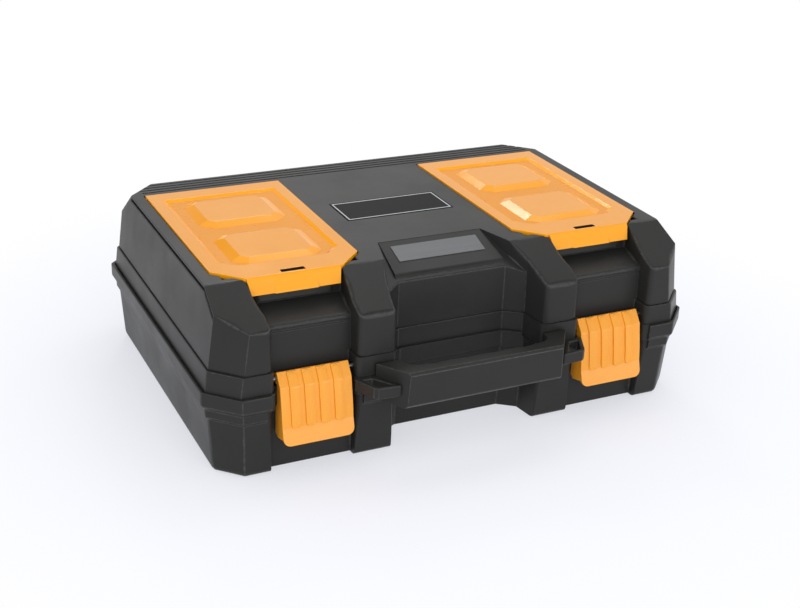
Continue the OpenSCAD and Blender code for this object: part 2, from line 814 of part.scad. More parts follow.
module organizer_tray() {
    w = cover_w / 2 - tray_edge - loose;
    y0 = cover_front + tray_edge + 1 + loose;
    y1 = tray_back - tray_edge + 1 - loose;
    low = flange_z - tray_deep;
    difference() {
        union() {
            translate([-w, y0, low]) cube([2 * w, y1 - y0, tray_deep + 0.5]);
            intersection() {
                translate([0, 0, flange_z + seat_play]) linear_extrude(tray_flange)
                    polygon(cover_plan(-2 * loose));
                translate([-far, y0 - 2, 0]) cube([2 * far, y1 - y0 + 4, far]);
            }
        }
        translate([-w + tray_wall, y0 + tray_wall, low + tray_wall])
            cube([2 * (w - tray_wall), y1 - y0 - 2 * tray_wall, tray_deep + 10]);
    }
    // slots that hold the dividers
    for (i = [1:compartments - 1], s = [-1, 1], k = [-1, 1])
        translate([s * (w - tray_wall - 0.9), tray_wall_y(i) + k * (tray_wall / 2 + 1.1),
            (low + tray_wall + flange_z - 2) / 2])
            cube([2, 1.6, tray_deep - tray_wall - 2], center = true);
}

module tray_dividers() {
    w = cover_w / 2 - tray_edge - tray_wall - 2 * loose;
    low = flange_z - tray_deep + tray_wall + seat_play;
    high = tray_deep - tray_wall - 3;
    dip = 12;                 // half width of the dip that a finger reaches into
    for (i = [1:compartments - 1])
        translate([-w, tray_wall_y(i) - tray_wall / 2, low]) difference() {
            cube([2 * w, tray_wall, high]);
            translate([w - dip, -1, high - 5]) cube([2 * dip, 10, 10]);
        }
}

// ---------- latches ----------

// Outer face of a latch as [y, z], top edge first, drawn as shares of its reach and length
lip_y = latch_y - latch_out;
face = [for (p = [[0.09, 0], [0.5, 0.178], [0.71, 0.553], [0.79, 0.758], [1, 1]])
    [latch_y - p[0] * latch_out, latch_top - p[1] * latch_l]];

module latch_face(out, t) {
    inner = [for (i = [len(face) - 1:-1:0]) [face[i][0] + t, face[i][1] - (i == 0 ? t / 3 : 0)]];
    polygon(concat([for (p = face) [p[0] - out, p[1]]], inner));
}

// Front view of a latch: straight sides and rounded lower corners
module latch_front(inset) {
    r = 5 - inset;
    w = latch_w / 2 - inset;
    polygon(concat([[-w, latch_top + 5]],
        [for (a = [180:22.5:270]) [-w + r + r * cos(a), latch_low + inset + r + r * sin(a)]],
        [for (a = [270:22.5:360]) [w - r + r * cos(a), latch_low + inset + r + r * sin(a)]],
        [[w, latch_top + 5]]));
}

module latch_rib() {
    r = 3.4;
    translate([0, latch_low + 11 + r]) circle(r, $fn = 24);
    translate([-r, latch_low + 11 + r]) square([2 * r, latch_l]);
}

module latch() {
    w = latch_w / 2;
    rib_pitch = latch_w / (latch_ribs + 0.9);
    cheek = 2.2;
    hook_half = catch_half - 1.5;
    nose = face[2][0];
    color(orange) difference() {
        union() {
            intersection() {
                across(-w, w) latch_face(0, latch_t);
                front_cut() latch_front(0);
            }
            // raised ribs with round lower ends
            intersection() {
                across(-w + 1, w - 1) latch_face(latch_rib_h, 1);
                front_cut() for (i = [0:latch_ribs - 1])
                    translate([(i - (latch_ribs - 1) / 2) * rib_pitch, 0]) latch_rib();
            }
            // cheeks that stiffen the sides
            for (x = [-w, w - cheek]) across(x, x + cheek) polygon([
                [face[1][0] + 0.4, face[1][1]], [nose + 0.4, face[2][1]],
                [face[3][0] + 0.4, face[3][1]], [lip_y + 3, latch_low + 4],
                [latch_y - 3, latch_low + 1.2], [latch_y + 0.8, latch_low + 3.5],
                [latch_y + 0.8, hook_z - 3], [latch_y - 1.6, hook_z + 1],
                [latch_y - 1.6, latch_z], [latch_y, latch_z + 1.5]]);
            rod(-w, w, latch_y, latch_z, latch_pin_d / 2 + 2.1);
            // hook that grips under the catch rib
            across(-hook_half, hook_half) polygon([[nose + 0.6, hook_z - 4.6],
                [latch_y + 0.5, hook_z - 3.4], [latch_y + 0.7, hook_z],
                [catch_y - 0.6, hook_z - 0.25], [catch_y - 2.6, hook_z + 3],
                [nose + 1.2, hook_z + 3]]);
        }
        rod(-far, far, latch_y, latch_z, latch_pin_d / 2 + pin_gap);
    }
}

module latch_pin() {
    reach = bay_w / 2 + latch_pin_end;
    color(steel) rod(-reach, reach, latch_y, latch_z, latch_pin_d / 2);
}

// ---------- handle ----------

function wave(x) = 0.4 * (cos(360 * finger_waves * x / (2 * (grip_half - 14))) - 1);

// Plan of the handle: bevelled shoulders outside, finger waves inside
function handle_plan() = let (in_y = grip_front + grip_t, r = 10, xi = grip_half - 13,
    n = 6 * finger_waves, end_y = grip_back + 8, w = grip_half + shoulder * (end_y - grip_front))
    concat([[-w, end_y], [-grip_half, grip_front], [grip_half, grip_front], [w, end_y],
        [xi + r, end_y]],
        quarter(xi, in_y + r, r, 0),
        [for (i = [1:n - 1]) let (x = xi - 2 * xi * i / n) [x, in_y + wave(x)]],
        mirror_points(quarter(xi, in_y + r, r, 0)), [[-xi - r, end_y]]);

module carry_handle() {
    pitch = 2 * (grip_half - 13.5) / grip_pockets;
    rib = 2;
    color(black) difference() {
        intersection() {
            translate([0, 0, grip_low]) linear_extrude(grip_h) polygon(handle_plan());
            across(-far, far) polygon([[front + 20, grip_low], [grip_front + 3.4, grip_low],
                [grip_front + 1.4, grip_low + 2], [grip_front, grip_top - 2],
                [grip_front + 1.6, grip_top], [front + 20, grip_top]]);
        }
        // back faces: clear of the lid above the rim, seated on the base's pads below it
        translate([-far, grip_back, grip_low - 1]) cube([2 * far, 20, 2 * grip_h]);
        translate([-far, front - 0.05, grip_low - 1])
            cube([2 * far, 20, base_h - grip_low + 1.4]);
        // ribbed hollow under the grip
        for (i = [0:grip_pockets - 1])
            translate([(i - grip_pockets / 2) * pitch + rib / 2, grip_front + 3.6, grip_low - 1])
                cube([pitch - rib, grip_t - 7.4, grip_h - 4]);
        both_sides() handle_screw_places() translate([0, 0, -front])
            cylinder(r = screw_r + 0.05, h = screw_deep + 0.6);
    }
}

module handle_screws() {
    color(steel) both_sides() handle_screw_places() {
        translate([0, 0, -screw_seat]) cylinder(r = screw_r, h = screw_seat - front + screw_deep);
        translate([0, 0, -screw_seat - head_h]) difference() {
            cylinder(r = head_r, h = head_h);
            translate([0, 0, -1]) cylinder(r = 1.5, h = 2.2, $fn = 6);
        }
    }
}

module hinge_pin() {
    reach = 2.5 * knuckle_l + 1;
    color(steel) rod(hinge_x - reach, hinge_x + reach, hinge_y, hinge_z, pin_d / 2);
}

base_shell();
lid_shell();
carry_handle();
handle_screws();
side(false) hinge_pin();  // hinge_pin_left
side(true) hinge_pin();  // hinge_pin_right
side(false) translate([bay_x, 0, 0]) latch();  // latch_left
side(true) translate([bay_x, 0, 0]) latch();  // latch_right
side(false) translate([bay_x, 0, 0]) latch_pin();  // latch_pin_left
side(true) translate([bay_x, 0, 0]) latch_pin();  // latch_pin_right
side(false) translate([cover_x, 0, 0]) color(orange) organizer_cover();  // organizer_cover_left
side(true) translate([cover_x, 0, 0]) color(orange) organizer_cover();  // organizer_cover_right
side(false) translate([cover_x, 0, 0]) color(black) organizer_tray();  // organizer_tray_left
side(true) translate([cover_x, 0, 0]) color(black) organizer_tray();  // organizer_tray_right
side(false) translate([cover_x, 0, 0]) color(grey) tray_dividers();  // tray_dividers_left
side(true) translate([cover_x, 0, 0]) color(grey) tray_dividers();  // tray_dividers_right
name_plate();
console_label();
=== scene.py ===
# %% [markdown]
# # A hard tool case
#
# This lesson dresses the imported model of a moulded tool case: black shells, orange latches,
# translucent orange organizer covers, a carry handle, and the small steel parts that hold them
# together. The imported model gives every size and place. Here each moulded piece gets the soft
# edges that a steel mould leaves, and each finish is made from nodes.

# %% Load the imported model
import json
import math

import bmesh
import bpy
import numpy as np
from mathutils.bvhtree import BVHTree
from mathutils.kdtree import KDTree
from mathutils import Matrix, Vector


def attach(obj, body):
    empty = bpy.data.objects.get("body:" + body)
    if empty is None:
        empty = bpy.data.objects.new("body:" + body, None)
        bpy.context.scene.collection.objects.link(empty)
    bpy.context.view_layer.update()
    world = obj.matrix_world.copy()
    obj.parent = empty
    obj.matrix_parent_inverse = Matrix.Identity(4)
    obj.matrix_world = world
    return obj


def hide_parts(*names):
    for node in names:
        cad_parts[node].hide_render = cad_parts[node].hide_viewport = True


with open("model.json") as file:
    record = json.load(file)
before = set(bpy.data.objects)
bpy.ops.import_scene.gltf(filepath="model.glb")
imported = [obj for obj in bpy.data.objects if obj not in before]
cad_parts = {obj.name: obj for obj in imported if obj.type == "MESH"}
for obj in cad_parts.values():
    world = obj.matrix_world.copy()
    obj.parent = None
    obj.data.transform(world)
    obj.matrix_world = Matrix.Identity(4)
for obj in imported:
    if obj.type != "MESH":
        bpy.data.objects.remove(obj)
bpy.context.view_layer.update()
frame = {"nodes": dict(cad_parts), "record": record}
MM = 0.001
nodes = frame["nodes"]
body_of_node = {n: body for body, names in frame["record"]["behaviour"]["bodies"].items()
                for n in names}

# %% [markdown]
# ## Colours and nodes
#
# Colours are written as the hex values that a paint chart or a colour picker gives. Blender's
# shaders work in linear light, so one function turns them over. A second small function adds a
# node to a tree with its settings and links, which keeps each material short enough to read.

# %% Two helpers for materials
def linear(hex_colour):
    """An sRGB hex colour as linear red, green, blue and alpha."""
    parts = [int(hex_colour[i:i + 2], 16) / 255 for i in (1, 3, 5)]
    return [p / 12.92 if p <= 0.04045 else ((p + 0.055) / 1.055) ** 2.4 for p in parts] + [1.0]


def add(tree, kind, inputs=None, **settings):
    """Adds a node. An input takes a plain value, or an output of another node as its link."""
    made = tree.nodes.new(kind)
    for name, value in settings.items():
        setattr(made, name, value)
    for name, value in (inputs or {}).items():
        if isinstance(value, bpy.types.NodeSocket):
            tree.links.new(value, made.inputs[name])
        else:
            made.inputs[name].default_value = value
    return made


def start_material(name):
    """A material with an empty tree, and its tree."""
    made = bpy.data.materials.new(name)
    made.use_nodes = True
    made.node_tree.nodes.clear()
    return made, made.node_tree


def shares(grain_mm):
    """The scale that gives a noise or cell pattern a grain of that many millimetres."""
    return 1 / (grain_mm * MM)


print("mid grey as linear light:", [round(c, 3) for c in linear("#808080")[:3]])

# %% [markdown]
# ## Black polypropylene
#
# Tool cases are injection moulded from polypropylene. The pigment itself is nearly black. What
# makes the deck look charcoal, and the front dark, is the sheen: plastic mirrors a white room
# weakly from the front and strongly at a low angle. So the colour here is kept deep and the
# shader's own reflection does the rest. The mould is spark eroded, which leaves a fine pebble that
# blurs the sheen. Three things make it read as plastic and not as paint: the pebble as a bump, a
# slow drift in roughness where hands have polished it, and a painted highlight: the rounded edges
# are painted paler in patches, standing in for the thin lines of light that they catch.
# The real pebble is about 0.3 mm. It is drawn at 0.9 mm, because a finer one would vanish between
# the pixels.

# %% Black polypropylene
def black_polypropylene(name, deep, rubbed, roughness, pebble_mm=0.9, bump=0.16):
    made, tree = start_material(name)
    place = add(tree, "ShaderNodeTexCoord").outputs["Object"]
    pebble = add(tree, "ShaderNodeTexNoise", {"Vector": place, "Scale": shares(pebble_mm),
                                              "Detail": 3.0, "Roughness": 0.6})
    drift = add(tree, "ShaderNodeTexNoise", {"Vector": place, "Scale": shares(45),
                                             "Detail": 4.0, "Roughness": 0.55})
    # Painted highlight: the bevel strips are painted paler in patches, standing in for the light
    # that rounded edges catch.
    highlight_patches = add(tree, "ShaderNodeTexNoise", {"Vector": place, "Scale": shares(3),
                                             "Detail": 5.0, "Roughness": 0.7})
    edge = add(tree, "ShaderNodeAttribute", attribute_name="painted_edge_highlight")
    painted_highlight = add(tree, "ShaderNodeMath", {0: edge.outputs["Fac"], 1: highlight_patches.outputs["Fac"]},
               operation="MULTIPLY")
    painted_highlight = add(tree, "ShaderNodeMapRange", {"Value": painted_highlight.outputs[0], "From Min": 0.28,
                                            "From Max": 0.75, "To Min": 0.0, "To Max": 0.75})
    body = add(tree, "ShaderNodeMix", {"Factor": drift.outputs["Fac"], "A": linear(deep),
                                       "B": linear(rubbed)}, data_type="RGBA")
    pale = add(tree, "ShaderNodeMix", {"Factor": painted_highlight.outputs[0], "A": body.outputs["Result"],
                                       "B": linear("#565655")}, data_type="RGBA")
    rough = add(tree, "ShaderNodeMapRange", {"Value": drift.outputs["Fac"], "From Min": 0.3,
                                             "From Max": 0.7, "To Min": roughness - 0.05,
                                             "To Max": roughness + 0.07})
    height = add(tree, "ShaderNodeBump", {"Height": pebble.outputs["Fac"], "Strength": bump,
                                          "Distance": 0.25 * MM})
    skin = add(tree, "ShaderNodeBsdfPrincipled", {
        "Base Color": pale.outputs["Result"], "Roughness": rough.outputs[0],
        "Normal": height.outputs["Normal"], "IOR": 1.49, "Specular IOR Level": 0.16})
    add(tree, "ShaderNodeOutputMaterial", {"Surface": skin.outputs["BSDF"]})
    return made


black_shell = black_polypropylene("black polypropylene, spark-eroded", "#272726", "#2e2e2d", 0.36)
# Also used as painted shade on the walls of the covers' slots.
black_plastic_and_slot_shade = black_polypropylene("black polypropylene, plain", "#232322", "#292928", 0.36,
                                   pebble_mm=1.6, bump=0.08)
print("made:", black_shell.name, "and", black_plastic_and_slot_shade.name)

# %% [markdown]
# ## Orange polypropylene
#
# The latches are the same plastic with an orange pigment, moulded in a smoother tool, so they
# take a broader highlight. A little light also travels inside the plastic and warms the thin
# edges. That is what the small subsurface share is for.
#
# The covers are clearer. A little light glows in them, and their steep walls and slopes are
# painted a purer, brighter amber as painted light, while the flat parts look paler by their sheen.
# So the colour follows a value named "slope" on each face: 0 where it lies flat, 1
# where it tilts by 30 degrees or more. The recess between border and pillows hardly shines, and
# gets a slightly deeper orange of its own.

# %% Orange polypropylene
def orange_polypropylene(name, light, deep, roughness, inner, gloss=0.5, steep=None):
    made, tree = start_material(name)
    place = add(tree, "ShaderNodeTexCoord").outputs["Object"]
    flow = add(tree, "ShaderNodeTexNoise", {"Vector": place, "Scale": shares(28),
                                            "Detail": 3.0, "Roughness": 0.5})
    grain = add(tree, "ShaderNodeTexNoise", {"Vector": place, "Scale": shares(1.1),
                                             "Detail": 2.0, "Roughness": 0.5})
    colour = add(tree, "ShaderNodeMix", {"Factor": flow.outputs["Fac"], "A": linear(deep),
                                         "B": linear(light)}, data_type="RGBA")
    # Painted light: faces are painted toward the steep colour by their tilt, a brighter amber that
    # stands in for light glowing in the slopes.
    if steep:
        slope = add(tree, "ShaderNodeAttribute", attribute_name="slope")
        colour = add(tree, "ShaderNodeMix", {"Factor": slope.outputs["Fac"],
                                             "A": colour.outputs["Result"], "B": linear(steep)},
                     data_type="RGBA")
    rough = add(tree, "ShaderNodeMapRange", {"Value": flow.outputs["Fac"], "From Min": 0.3,
                                             "From Max": 0.7, "To Min": roughness - 0.04,
                                             "To Max": roughness + 0.05})
    height = add(tree, "ShaderNodeBump", {"Height": grain.outputs["Fac"], "Strength": 0.05,
                                          "Distance": 0.15 * MM})
    skin = add(tree, "ShaderNodeBsdfPrincipled", {
        "Base Color": colour.outputs["Result"], "Roughness": rough.outputs[0],
        "Normal": height.outputs["Normal"], "IOR": 1.49, "Subsurface Weight": inner,
        "Subsurface Radius": (1.0, 0.4, 0.08), "Subsurface Scale": 1.2 * MM,
        "Specular IOR Level": gloss})
    add(tree, "ShaderNodeOutputMaterial", {"Surface": skin.outputs["BSDF"]})
    return made


orange_latch = orange_polypropylene("orange polypropylene, satin", "#e99c2d", "#e39425", 0.32, 0.08)
orange_cover = orange_polypropylene(
    "orange polypropylene, frosted translucent", "#eb9f31", "#e69729", 0.17, 0.08, gloss=0.3,
    steep="#ffa80c")
# A duller, slightly deeper orange for level faces sunk below a cover's border.
orange_recess = orange_polypropylene("orange polypropylene, dulled recess", "#e8982a", "#e29220",
                                     0.26, 0.08, gloss=0.12)
print("made:", orange_latch.name, "and", orange_cover.name, "and", orange_recess.name)

# %% [markdown]
# ## Steel, label and plate
#
# Pins and screws are zinc-plated steel, turned on a lathe. The label is a printed grey film and
# the plate a smooth black badge. Both are bare: only a thin silver line frames the plate.

# %% Steel, label and plate
def zinc_steel():
    made, tree = start_material("steel, zinc plated")
    place = add(tree, "ShaderNodeTexCoord").outputs["Object"]
    turned = add(tree, "ShaderNodeTexNoise", {"Vector": place, "Scale": shares(0.8),
                                              "Detail": 4.0})
    rough = add(tree, "ShaderNodeMapRange", {"Value": turned.outputs["Fac"], "To Min": 0.32,
                                             "To Max": 0.5})
    skin = add(tree, "ShaderNodeBsdfPrincipled", {
        "Base Color": linear("#808285"), "Metallic": 1.0, "Roughness": rough.outputs[0]})
    add(tree, "ShaderNodeOutputMaterial", {"Surface": skin.outputs["BSDF"]})
    return made


def film(name, low, high, roughness, grain_mm, gloss=0.5):
    """A printed film, with the faint streaks of its roller along X."""
    made, tree = start_material(name)
    place = add(tree, "ShaderNodeTexCoord").outputs["Object"]
    long_x = add(tree, "ShaderNodeMapping", {"Vector": place, "Scale": (0.04, 1.0, 1.0)})
    streak = add(tree, "ShaderNodeTexNoise", {"Vector": long_x.outputs[0],
                                              "Scale": shares(grain_mm), "Detail": 3.0})
    colour = add(tree, "ShaderNodeMix", {"Factor": streak.outputs["Fac"], "A": linear(low),
                                         "B": linear(high)}, data_type="RGBA")
    height = add(tree, "ShaderNodeBump", {"Height": streak.outputs["Fac"], "Strength": 0.05,
                                          "Distance": 0.1 * MM})
    skin = add(tree, "ShaderNodeBsdfPrincipled", {
        "Base Color": colour.outputs["Result"], "Roughness": roughness,
        "Normal": height.outputs["Normal"], "Specular IOR Level": gloss})
    add(tree, "ShaderNodeOutputMaterial", {"Surface": skin.outputs["BSDF"]})
    return made


steel = zinc_steel()
grey_film = film("grey film, matt", "#4e5053", "#5c5e61", 0.4, 1.2)
black_badge = film("black badge, matt print", "#050506", "#08080a", 0.5, 2.0, gloss=0.08)
silver_line = film("silver print", "#a9abad", "#b5b7b9", 0.35, 1.0)
divider_grey = black_polypropylene("grey polypropylene, plain", "#505255", "#5a5c5f", 0.4)
print("made:", steel.name, grey_film.name, black_badge.name, silver_line.name)

# %% [markdown]
# ## Soft edges
#
# A mould is cut with round tools, so no edge of a moulded piece is truly sharp, and each rounded
# edge catches a thin highlight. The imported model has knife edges. A Bevel modifier rounds them,
# but one width for all would fold narrow faces over themselves. So each edge gets a weight from
# the room that its two faces leave for it.
#
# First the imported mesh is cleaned. It comes as loose triangles, so points in one place are merged,
# and triangles that lie in one plane become one face. The name plate serves as a trial piece for
# each step.

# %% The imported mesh, cleaned
SAME_POINT = 4e-6
SAME_PLANE = math.radians(0.4)
FACET_WIDTH = 3.2 * MM


def clean_grid(node):
    """The node's mesh with flat neighbours merged. Each face keeps its number, its direction and
    a mark that says whether it is narrow, as the facets of a curve are."""
    grid = bmesh.new()
    grid.from_mesh(nodes[node].data)
    bmesh.ops.remove_doubles(grid, verts=grid.verts, dist=SAME_POINT)
    bmesh.ops.dissolve_degenerate(grid, edges=grid.edges, dist=SAME_POINT)
    bmesh.ops.dissolve_limit(grid, angle_limit=SAME_PLANE, verts=grid.verts, edges=grid.edges)
    facing = grid.faces.layers.float_vector.new("source_facing")
    number = grid.faces.layers.int.new("source_face")
    narrow = grid.faces.layers.int.new("narrow")
    for index, face in enumerate(grid.faces):
        face[facing] = face.normal
        face[number] = index
        longest = max(edge.calc_length() for edge in face.edges)
        face[narrow] = face.calc_area() / longest < FACET_WIDTH
    return grid


trial = clean_grid("name_plate")
print("name plate:", len(nodes["name_plate"].data.polygons), "triangles become",
      len(trial.faces), "faces")

# %% [markdown]
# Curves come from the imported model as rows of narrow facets. Those must not be bevelled one by
# one: they are only shaded as one smooth surface. So an edge counts as sharp when it turns by
# more than 34 degrees, or by more than 12 degrees between two faces that are both wide. The width
# of a bevel can only change from one edge to the next. So the edges that get the widest bevel are
# cut into pieces of about 4 mm.

# %% Which edges are sharp
CURVE_TURN = math.radians(34)
FLAT_TURN = math.radians(12)
PIECE_LENGTH = 4 * MM


def sharp_edges(grid):
    """The set of edges that a bevel should round."""
    narrow = grid.faces.layers.int["narrow"]
    facets = {face for face in grid.faces if face[narrow]}
    found = set()
    for edge in grid.edges:
        if len(edge.link_faces) == 2:
            turn = edge.calc_face_angle(0)
            if turn > CURVE_TURN or (turn > FLAT_TURN and not facets & set(edge.link_faces)):
                found.add(edge)
    return found


def cut_edges(grid, sharp, wide):
    """All sharp edges as a list. Those that pass the test wide are cut into pieces first."""
    pieces = []
    for edge in [edge for edge in grid.edges if edge in sharp]:
        if wide and wide(edge):
            for parts in range(round(edge.calc_length() / PIECE_LENGTH), 1, -1):
                pieces.append(bmesh.utils.edge_split(edge, edge.verts[0], 1 / parts)[0])
        pieces.append(edge)
    return pieces


trial_edges = cut_edges(trial, sharp_edges(trial), None)
print("name plate:", len(trial_edges), "sharp edges of", len(trial.edges))

# %% [markdown]
# A bevel lays a strip on both faces beside its edge. The strip has to stay clear of the points
# straight across the face, and has to leave the neighbouring edges some of their length. Its ends
# slide along those neighbours, and mustn't run into the edges beyond them. Each face is asked in
# turn, and an edge keeps the smallest answer.

# %% The room that a face leaves for a bevel
FACE_SHARE = 0.36       # of the way across the face to a point
SHARP_SHARE = 0.45      # of the length of an edge that gets a strip of its own
PLAIN_SHARE = 0.75      # of the length of an edge that gets none
RUNS_ON = 0.9           # cosine of 26 degrees: an edge that turns less than that runs on
CLEAR_TURN = 0.1        # sine of 6 degrees: a corner that turns less is all but straight
END_SLACK = 0.02        # share of an edge, or millimetres, that belong to its ends
LEAST_NEARING = 0.02    # how slowly the end of a strip may come nearer to an edge
NO_LIMIT = 1.0          # a metre, more than any piece has


def face_rooms(face, sharp, room):
    """Lower room[edge] to what this face allows, for each of its edges."""
    loops = list(face.loops)
    count = len(loops)
    normal = np.array(face.normal)
    place = np.array([loop.vert.co[:] for loop in loops])
    run = np.roll(place, -1, axis=0) - place
    length = np.linalg.norm(run, axis=1)
    run /= length[:, None]
    inward = np.cross(normal, run)
    away = place[None, :, :] - place[:, None, :]
    along = np.einsum("ijk,ik->ij", away, run)
    across = np.einsum("ijk,ik->ij", away, inward)
    past_end = np.minimum(END_SLACK * length, END_SLACK * MM)[:, None]
    beside = (along < past_end) | (along > length[:, None] - past_end)
    across[beside | (across < 1e-6)] = NO_LIMIT
    for i, loop in enumerate(loops):
        after = (i + 1) % count
        free = FACE_SHARE * across[i].min()
        for j, corner, slide in ((i - 1, i, -run[i - 1]), (after, after, run[after])):
            turn = float(np.cross(run[corner - 1], run[corner]) @ normal)
            onward = float(run[corner - 1] @ run[corner])
            is_sharp = loops[j].edge in sharp
            runs_on = onward > RUNS_ON
            nearing = np.ones(count)
            if runs_on or not is_sharp:
                slide = inward[i] if runs_on or turn <= CLEAR_TURN else slide
                nearing = -(inward @ slide) / (inward[i] @ slide)
            to_edges = across[:, corner] / np.maximum(nearing, LEAST_NEARING)
            free = min(free, FACE_SHARE * to_edges.min())
            if turn <= 0:
                continue
            half_angle = (math.pi - math.atan2(turn, onward)) / 2
            if is_sharp:
                free = min(free, SHARP_SHARE * length[i] * math.tan(half_angle))
            if not runs_on:
                share = SHARP_SHARE if is_sharp else PLAIN_SHARE
                free = min(free, share * length[j] * turn)
        room[loop.edge] = min(room.get(loop.edge, NO_LIMIT), free)


trial_room = {}
for face in trial.faces:
    face_rooms(face, set(trial_edges), trial_room)
print("name plate: room for", round(min(trial_room.values()) / MM, 3), "to",
      round(max(trial_room.values()) / MM, 3), "mm")

# %% [markdown]
# Where an edge turns, as around a curve, both sides need one width: two strips of different widths
# would only meet far away, in a spike. Along a straight line the width may change, but slowly. The
# next two functions find where edges run on into each other, and even out their widths.

# %% Even widths
STRAIGHT = 0.9995       # cosine of 2 degrees: a line that turns less is straight
TAPER = 0.25            # how fast a width may change along a straight line
ROUNDS = 200


def joints_of(sharp):
    """Pairs of sharp edges that run on with a turn under 26 degrees, and how much their widths
    may differ: a share of their length on a straight line, nothing at a turn."""
    joints, known = [], set(sharp)
    for point in dict.fromkeys(point for edge in sharp for point in edge.verts):
        here = [edge for edge in point.link_edges if edge in known]
        for k, first in enumerate(here):
            along = (first.other_vert(point).co - point.co).normalized()
            for second in here[k + 1:]:
                back = along.dot((second.other_vert(point).co - point.co).normalized())
                if back < -RUNS_ON and set(first.link_faces) & set(second.link_faces):
                    shorter = min(first.calc_length(), second.calc_length())
                    step = TAPER * shorter if back < -STRAIGHT else 0.0
                    joints.append((first, second, step))
    return joints


def even_out(width_of, joints):
    """Lower the widths until none differs from the next by more than their joint allows."""
    for _ in range(ROUNDS):
        before = sum(width_of.values())
        for first, second, step in joints:
            width_of[first] = min(width_of[first], width_of[second] + step)
            width_of[second] = min(width_of[second], width_of[first] + step)
        if sum(width_of.values()) == before:
            break


print("name plate:", len(joints_of(trial_edges)), "places where sharp edges run on")
trial.free()

# %% [markdown]
# The weights are then tried out. After each try two signs of trouble are looked for: a point that
# left the old surface, and a piece of a flat face that turned over. The edges at such a corner
# get a narrower bevel, and the try is made again until nothing is wrong.

# %% Try a bevel and find its faults
SLIVER = 0.03 * MM      # pieces smaller than this don't show
SAME_FACING = 0.9       # cosine of 26 degrees: a piece that tilts more has turned over


def evaluated_mesh(piece):
    """The mesh of an object with its modifiers applied."""
    graph = bpy.context.evaluated_depsgraph_get()
    return bpy.data.meshes.new_from_object(piece.evaluated_get(graph))


def column(part, name, width, kind=float):
    """One property of all points, edges or faces as an array."""
    values = np.empty(len(part) * width, dtype=kind)
    part.foreach_get(name, values)
    return values.reshape(-1, width) if width > 1 else values


def faults(tried, surface, corners, limit):
    """Numbers of the source points and source faces where a tried bevel went wrong."""
    where = column(tried.vertices, "co", 3)
    off = {i for i, place in enumerate(where) if surface.find_nearest(place)[3] > limit}
    bad = set(off)
    for a, b in column(tried.edges, "vertices", 2, np.int32).tolist():
        if a in off or b in off:
            bad |= {a, b}
    tried.calc_loop_triangles()
    facing = column(tried.attributes["source_facing"].data, "vector", 3)
    owner = column(tried.loop_triangles, "polygon_index", 1, np.int32)
    points = column(tried.loop_triangles, "vertices", 3, np.int32)
    p, q, r = (where[points[:, k]] for k in range(3))
    cross = np.cross(q - p, r - p)
    size = np.linalg.norm(cross, axis=1)
    straight = np.einsum("ij,ij->i", cross, facing[owner])
    plain = column(tried.polygons, "material_index", 1, np.int32)[owner] == 0
    turned = plain & (size > SLIVER ** 2) & (straight < SAME_FACING * size)
    for triangle in points[turned]:
        bad |= set(triangle.tolist())
    number = column(tried.attributes["source_face"].data, "value", 1, np.int32)
    return {corners.find(where[i])[1] for i in bad}, set(number[owner[turned]].tolist())


print("a piece of a face has turned over when it tilts by more than",
      round(math.degrees(math.acos(SAME_FACING))), "degrees")

# %% [markdown]
# Shading needs care too. Smooth shading bends the light on a flat face wherever its neighbours
# tilt. So every face corner gets its own normal: a flat face keeps its direction, facets of a
# curve blend with what lies beside them, and a bevel's strip starts and ends in the directions of
# the two faces that it joins.

# %% Corner normals
def corner_normals(mesh, strip):
    """One normal for each face corner. strip says which faces belong to a bevel."""
    facing = column(mesh.polygons, "normal", 3)
    area = column(mesh.polygons, "area", 1)
    facet = column(mesh.attributes["narrow"].data, "value", 1, np.int32) == 1
    around, beside = {}, {}
    for face in mesh.polygons:
        for point in face.vertices:
            around.setdefault(point, []).append(face.index)
        for a, b in face.edge_keys:
            beside.setdefault((a, b), []).append(face.index)

    def mean(faces):
        total = (area[faces, None] * facing[faces]).sum(axis=0)
        return total / max(np.linalg.norm(total), 1e-12)

    def blended(point, face):
        near = [other for other in around[point] if other == face or (
            not strip[other] and (facet[face] or facet[other])
            and facing[face] @ facing[other] > math.cos(CURVE_TURN))]
        return mean(near)

    def strip_corner(point, face, neighbours):
        joined = [other for other in neighbours if not strip[other]]
        joined = joined or [other for other in around[point] if not strip[other]]
        if joined:
            return blended(point, max(joined, key=lambda other: facing[face] @ facing[other]))
        return mean([other for other in around[point] if facing[face] @ facing[other] > 0])

    normals = []
    for face in mesh.polygons:
        points = list(face.vertices)
        for k, point in enumerate(points):
            if strip[face.index]:
                keys = [tuple(sorted((point, points[j % len(points)]))) for j in (k - 1, k + 1)]
                normals.append(strip_corner(point, face.index,
                                            [other for key in keys for other in beside[key]]))
            else:
                normals.append(blended(point, face.index))
    return normals


print("facets blend where they turn by less than", round(math.degrees(CURVE_TURN)), "degrees")

# %% [markdown]
# Now the widths are fitted. A draft gets the Bevel modifier, and wherever a fault shows, the
# edges around it get half their width. Most faults are gone after a few tries. For those that
# stay, all edges of the face are narrowed too, and later the edges of all facets beside the point.

# %% Fit the widths
TRIES = 24
FACES_FROM_TRY = 5
FACETS_FROM_TRY = 8
LEAST_WIDTH = 0.04 * MM
MAY_MOVE = 0.5          # share of the width by which a point may leave the old surface


def draft_of(node, width, material):
    """An object with a Bevel modifier that reads the weights of its edges. The strips get the
    second material slot, which tells them from the faces."""
    mesh = bpy.data.meshes.new(node + "_draft")
    mesh.materials.append(material)
    mesh.materials.append(material)
    draft = bpy.data.objects.new(node + "_draft", mesh)
    bpy.context.scene.collection.objects.link(draft)
    bevel = draft.modifiers.new("soft edges", "BEVEL")
    bevel.limit_method = "WEIGHT"
    bevel.width = width
    bevel.segments = 2
    bevel.use_clamp_overlap = False
    bevel.material = 1
    bevel.loop_slide = False
    return draft


